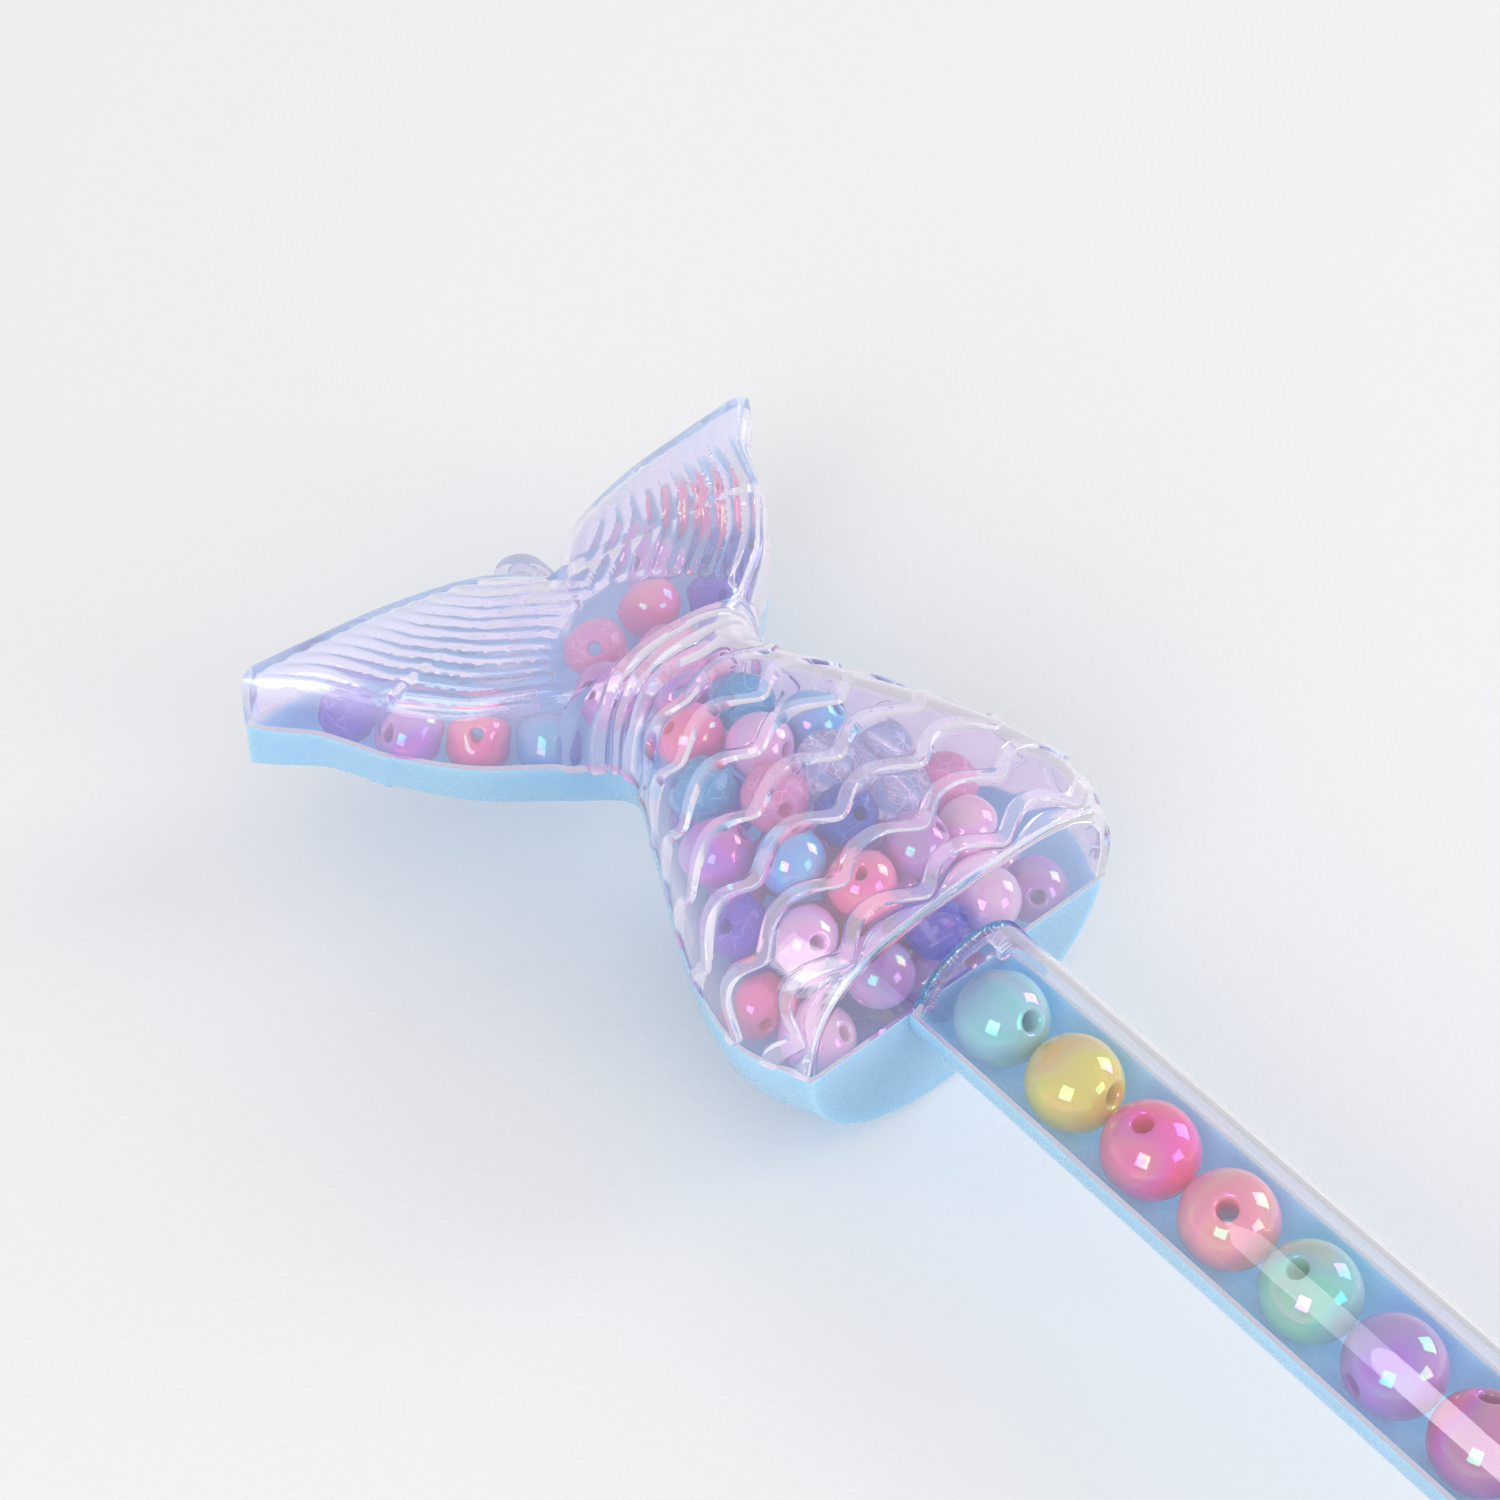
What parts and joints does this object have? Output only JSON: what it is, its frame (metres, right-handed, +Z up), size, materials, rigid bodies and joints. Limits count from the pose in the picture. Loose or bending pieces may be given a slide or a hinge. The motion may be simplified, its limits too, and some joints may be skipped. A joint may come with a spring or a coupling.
{
  "type": "rainstick",
  "caption": "Hand-held rainstick wand: a mermaid-tail rattle chamber and a tubular handle under clear covers on a blue shell, holding loose round beads.",
  "frame": {"origin": "under the middle of the wand, at the height of the tail shell's lowest point", "axes": "+X along the wand from the tail flukes to the handle's end, +Y across the flukes, +Z up from the blue shell to the clear covers"},
  "size_m": [0.288, 0.1, 0.0485],
  "materials": {
    "blue_shell": "gloss",
    "clear_cover": "clear gloss",
    "aqua": "gloss",
    "yellow": "gloss",
    "hot_pink": "gloss",
    "salmon": "gloss",
    "mint": "gloss",
    "lilac": "gloss",
    "magenta": "gloss",
    "pale_pink": "gloss",
    "sky_blue": "gloss",
    "purple": "clear gloss",
    "navy": "clear gloss",
    "teal": "clear gloss",
    "mauve": "clear gloss",
    "clear_bead": "clear gloss"
  },
  "bodies": {
    "shell": {"lower_shell": "blue_shell", "tail_cover": "clear_cover", "handle_cover": "clear_cover"},
    "handle_bead_1": {"handle_bead_1": "aqua"},
    "handle_bead_2": {"handle_bead_2": "yellow"},
    "handle_bead_3": {"handle_bead_3": "hot_pink"},
    "handle_bead_4": {"handle_bead_4": "salmon"},
    "handle_bead_5": {"handle_bead_5": "mint"},
    "handle_bead_6": {"handle_bead_6": "lilac"},
    "handle_bead_7": {"handle_bead_7": "magenta"},
    "handle_bead_8": {"handle_bead_8": "aqua"},
    "handle_bead_9": {"handle_bead_9": "yellow"},
    "handle_bead_10": {"handle_bead_10": "pale_pink"},
    "tail_bead_1": {"tail_bead_1": "pale_pink"},
    "tail_bead_2": {"tail_bead_2": "lilac"},
    "tail_bead_3": {"tail_bead_3": "purple"},
    "tail_bead_4": {"tail_bead_4": "pale_pink"},
    "tail_bead_5": {"tail_bead_5": "lilac"},
    "tail_bead_6": {"tail_bead_6": "pale_pink"},
    "tail_bead_7": {"tail_bead_7": "hot_pink"},
    "tail_bead_8": {"tail_bead_8": "lilac"},
    "tail_bead_9": {"tail_bead_9": "pale_pink"},
    "tail_bead_10": {"tail_bead_10": "purple"},
    "tail_bead_11": {"tail_bead_11": "sky_blue"},
    "tail_bead_12": {"tail_bead_12": "navy"},
    "tail_bead_13": {"tail_bead_13": "clear_bead"},
    "tail_bead_14": {"tail_bead_14": "mauve"},
    "tail_bead_15": {"tail_bead_15": "lilac"},
    "tail_bead_16": {"tail_bead_16": "mauve"},
    "tail_bead_17": {"tail_bead_17": "clear_bead"},
    "tail_bead_18": {"tail_bead_18": "clear_bead"},
    "tail_bead_19": {"tail_bead_19": "teal"},
    "tail_bead_20": {"tail_bead_20": "pale_pink"},
    "tail_bead_21": {"tail_bead_21": "sky_blue"},
    "tail_bead_22": {"tail_bead_22": "hot_pink"},
    "tail_bead_23": {"tail_bead_23": "teal"},
    "tail_bead_24": {"tail_bead_24": "lilac"},
    "tail_bead_25": {"tail_bead_25": "lilac"},
    "tail_bead_26": {"tail_bead_26": "mauve"},
    "tail_bead_27": {"tail_bead_27": "mauve"},
    "tail_bead_28": {"tail_bead_28": "sky_blue"},
    "tail_bead_29": {"tail_bead_29": "hot_pink"},
    "tail_bead_30": {"tail_bead_30": "lilac"},
    "tail_bead_31": {"tail_bead_31": "purple"},
    "tail_bead_32": {"tail_bead_32": "teal"},
    "tail_bead_33": {"tail_bead_33": "clear_bead"},
    "tail_bead_34": {"tail_bead_34": "pale_pink"},
    "tail_bead_35": {"tail_bead_35": "purple"},
    "tail_bead_36": {"tail_bead_36": "navy"},
    "tail_bead_37": {"tail_bead_37": "hot_pink"},
    "tail_bead_38": {"tail_bead_38": "lilac"},
    "tail_bead_39": {"tail_bead_39": "hot_pink"}
  },
  "joints": [
    {"name": "handle_bead_1_slide", "type": "slide", "parent": "shell", "child": "handle_bead_1", "axis": [1, 0, 0], "range_m": [0, 0.036]},
    {"name": "handle_bead_2_slide", "type": "slide", "parent": "shell", "child": "handle_bead_2", "axis": [1, 0, 0], "range_m": [0, 0.036]},
    {"name": "handle_bead_3_slide", "type": "slide", "parent": "shell", "child": "handle_bead_3", "axis": [1, 0, 0], "range_m": [0, 0.036]},
    {"name": "handle_bead_4_slide", "type": "slide", "parent": "shell", "child": "handle_bead_4", "axis": [1, 0, 0], "range_m": [0, 0.036]},
    {"name": "handle_bead_5_slide", "type": "slide", "parent": "shell", "child": "handle_bead_5", "axis": [1, 0, 0], "range_m": [0, 0.036]},
    {"name": "handle_bead_6_slide", "type": "slide", "parent": "shell", "child": "handle_bead_6", "axis": [1, 0, 0], "range_m": [0, 0.036]},
    {"name": "handle_bead_7_slide", "type": "slide", "parent": "shell", "child": "handle_bead_7", "axis": [1, 0, 0], "range_m": [0, 0.036]},
    {"name": "handle_bead_8_slide", "type": "slide", "parent": "shell", "child": "handle_bead_8", "axis": [1, 0, 0], "range_m": [0, 0.036]},
    {"name": "handle_bead_9_slide", "type": "slide", "parent": "shell", "child": "handle_bead_9", "axis": [1, 0, 0], "range_m": [0, 0.036]},
    {"name": "handle_bead_10_slide", "type": "slide", "parent": "shell", "child": "handle_bead_10", "axis": [1, 0, 0], "range_m": [0, 0.036]},
    {"name": "tail_bead_1_hop", "type": "slide", "parent": "shell", "child": "tail_bead_1", "axis": [0, 0, 1], "range_m": [0, 0.015]},
    {"name": "tail_bead_2_hop", "type": "slide", "parent": "shell", "child": "tail_bead_2", "axis": [0, 0, 1], "range_m": [0, 0.0121]},
    {"name": "tail_bead_3_hop", "type": "slide", "parent": "shell", "child": "tail_bead_3", "axis": [0, 0, 1], "range_m": [0, 0.0105]},
    {"name": "tail_bead_4_hop", "type": "slide", "parent": "shell", "child": "tail_bead_4", "axis": [0, 0, 1], "range_m": [0, 0.0121]},
    {"name": "tail_bead_5_hop", "type": "slide", "parent": "shell", "child": "tail_bead_5", "axis": [0, 0, 1], "range_m": [0, 0.0149]},
    {"name": "tail_bead_6_hop", "type": "slide", "parent": "shell", "child": "tail_bead_6", "axis": [0, 0, 1], "range_m": [0, 0.0098]},
    {"name": "tail_bead_7_hop", "type": "slide", "parent": "shell", "child": "tail_bead_7", "axis": [0, 0, 1], "range_m": [0, 0.0069]},
    {"name": "tail_bead_8_hop", "type": "slide", "parent": "shell", "child": "tail_bead_8", "axis": [0, 0, 1], "range_m": [0, 0.0069]},
    {"name": "tail_bead_9_hop", "type": "slide", "parent": "shell", "child": "tail_bead_9", "axis": [0, 0, 1], "range_m": [0, 0.0098]},
    {"name": "tail_bead_10_hop", "type": "slide", "parent": "shell", "child": "tail_bead_10", "axis": [0, 0, 1], "range_m": [0, 0.0026]},
    {"name": "tail_bead_11_hop", "type": "slide", "parent": "shell", "child": "tail_bead_11", "axis": [0, 0, 1], "range_m": [0, 0.0061]},
    {"name": "tail_bead_12_hop", "type": "slide", "parent": "shell", "child": "tail_bead_12", "axis": [0, 0, 1], "range_m": [0, 0.0047]},
    {"name": "tail_bead_13_hop", "type": "slide", "parent": "shell", "child": "tail_bead_13", "axis": [0, 0, 1], "range_m": [0, 0.0061]},
    {"name": "tail_bead_14_hop", "type": "slide", "parent": "shell", "child": "tail_bead_14", "axis": [0, 0, 1], "range_m": [0, 0.0044]},
    {"name": "tail_bead_15_hop", "type": "slide", "parent": "shell", "child": "tail_bead_15", "axis": [0, 0, 1], "range_m": [0, 0.0019]},
    {"name": "tail_bead_16_hop", "type": "slide", "parent": "shell", "child": "tail_bead_16", "axis": [0, 0, 1], "range_m": [0, 0.0044]},
    {"name": "tail_bead_17_hop", "type": "slide", "parent": "shell", "child": "tail_bead_17", "axis": [0, 0, 1], "range_m": [0, 0.0042]},
    {"name": "tail_bead_18_hop", "type": "slide", "parent": "shell", "child": "tail_bead_18", "axis": [0, 0, 1], "range_m": [0, 0.0023]},
    {"name": "tail_bead_19_hop", "type": "slide", "parent": "shell", "child": "tail_bead_19", "axis": [0, 0, 1], "range_m": [0, 0.0021]},
    {"name": "tail_bead_20_hop", "type": "slide", "parent": "shell", "child": "tail_bead_20", "axis": [0, 0, 1], "range_m": [0, 0.004]},
    {"name": "tail_bead_21_hop", "type": "slide", "parent": "shell", "child": "tail_bead_21", "axis": [0, 0, 1], "range_m": [0, 0.0019]},
    {"name": "tail_bead_22_hop", "type": "slide", "parent": "shell", "child": "tail_bead_22", "axis": [0, 0, 1], "range_m": [0, 0.0038]},
    {"name": "tail_bead_23_hop", "type": "slide", "parent": "shell", "child": "tail_bead_23", "axis": [0, 0, 1], "range_m": [0, 0.0036]},
    {"name": "tail_bead_24_hop", "type": "slide", "parent": "shell", "child": "tail_bead_24", "axis": [0, 0, 1], "range_m": [0, 0.0041]},
    {"name": "tail_bead_25_hop", "type": "slide", "parent": "shell", "child": "tail_bead_25", "axis": [0, 0, 1], "range_m": [0, 0.0051]},
    {"name": "tail_bead_26_hop", "type": "slide", "parent": "shell", "child": "tail_bead_26", "axis": [0, 0, 1], "range_m": [0, 0.0049]},
    {"name": "tail_bead_27_hop", "type": "slide", "parent": "shell", "child": "tail_bead_27", "axis": [0, 0, 1], "range_m": [0, 0.0059]},
    {"name": "tail_bead_28_hop", "type": "slide", "parent": "shell", "child": "tail_bead_28", "axis": [0, 0, 1], "range_m": [0, 0.0095]},
    {"name": "tail_bead_29_hop", "type": "slide", "parent": "shell", "child": "tail_bead_29", "axis": [0, 0, 1], "range_m": [0, 0.0079]},
    {"name": "tail_bead_30_hop", "type": "slide", "parent": "shell", "child": "tail_bead_30", "axis": [0, 0, 1], "range_m": [0, 0.0026]},
    {"name": "tail_bead_31_hop", "type": "slide", "parent": "shell", "child": "tail_bead_31", "axis": [0, 0, 1], "range_m": [0, 0.0052]},
    {"name": "tail_bead_32_hop", "type": "slide", "parent": "shell", "child": "tail_bead_32", "axis": [0, 0, 1], "range_m": [0, 0.0066]},
    {"name": "tail_bead_33_hop", "type": "slide", "parent": "shell", "child": "tail_bead_33", "axis": [0, 0, 1], "range_m": [0, 0.0078]},
    {"name": "tail_bead_34_hop", "type": "slide", "parent": "shell", "child": "tail_bead_34", "axis": [0, 0, 1], "range_m": [0, 0.0093]},
    {"name": "tail_bead_35_hop", "type": "slide", "parent": "shell", "child": "tail_bead_35", "axis": [0, 0, 1], "range_m": [0, 0.0079]},
    {"name": "tail_bead_36_hop", "type": "slide", "parent": "shell", "child": "tail_bead_36", "axis": [0, 0, 1], "range_m": [0, 0.0023]},
    {"name": "tail_bead_37_hop", "type": "slide", "parent": "shell", "child": "tail_bead_37", "axis": [0, 0, 1], "range_m": [0, 0.0052]},
    {"name": "tail_bead_38_hop", "type": "slide", "parent": "shell", "child": "tail_bead_38", "axis": [0, 0, 1], "range_m": [0, 0.0065]},
    {"name": "tail_bead_39_hop", "type": "slide", "parent": "shell", "child": "tail_bead_39", "axis": [0, 0, 1], "range_m": [0, 0.0078]}
  ],
  "couplings": [
    {"joint": "handle_bead_2_slide", "follows": "handle_bead_1_slide", "ratio": 1},
    {"joint": "handle_bead_3_slide", "follows": "handle_bead_1_slide", "ratio": 1},
    {"joint": "handle_bead_4_slide", "follows": "handle_bead_1_slide", "ratio": 1},
    {"joint": "handle_bead_5_slide", "follows": "handle_bead_1_slide", "ratio": 1},
    {"joint": "handle_bead_6_slide", "follows": "handle_bead_1_slide", "ratio": 1},
    {"joint": "handle_bead_7_slide", "follows": "handle_bead_1_slide", "ratio": 1},
    {"joint": "handle_bead_8_slide", "follows": "handle_bead_1_slide", "ratio": 1},
    {"joint": "handle_bead_9_slide", "follows": "handle_bead_1_slide", "ratio": 1},
    {"joint": "handle_bead_10_slide", "follows": "handle_bead_1_slide", "ratio": 1}
  ]
}
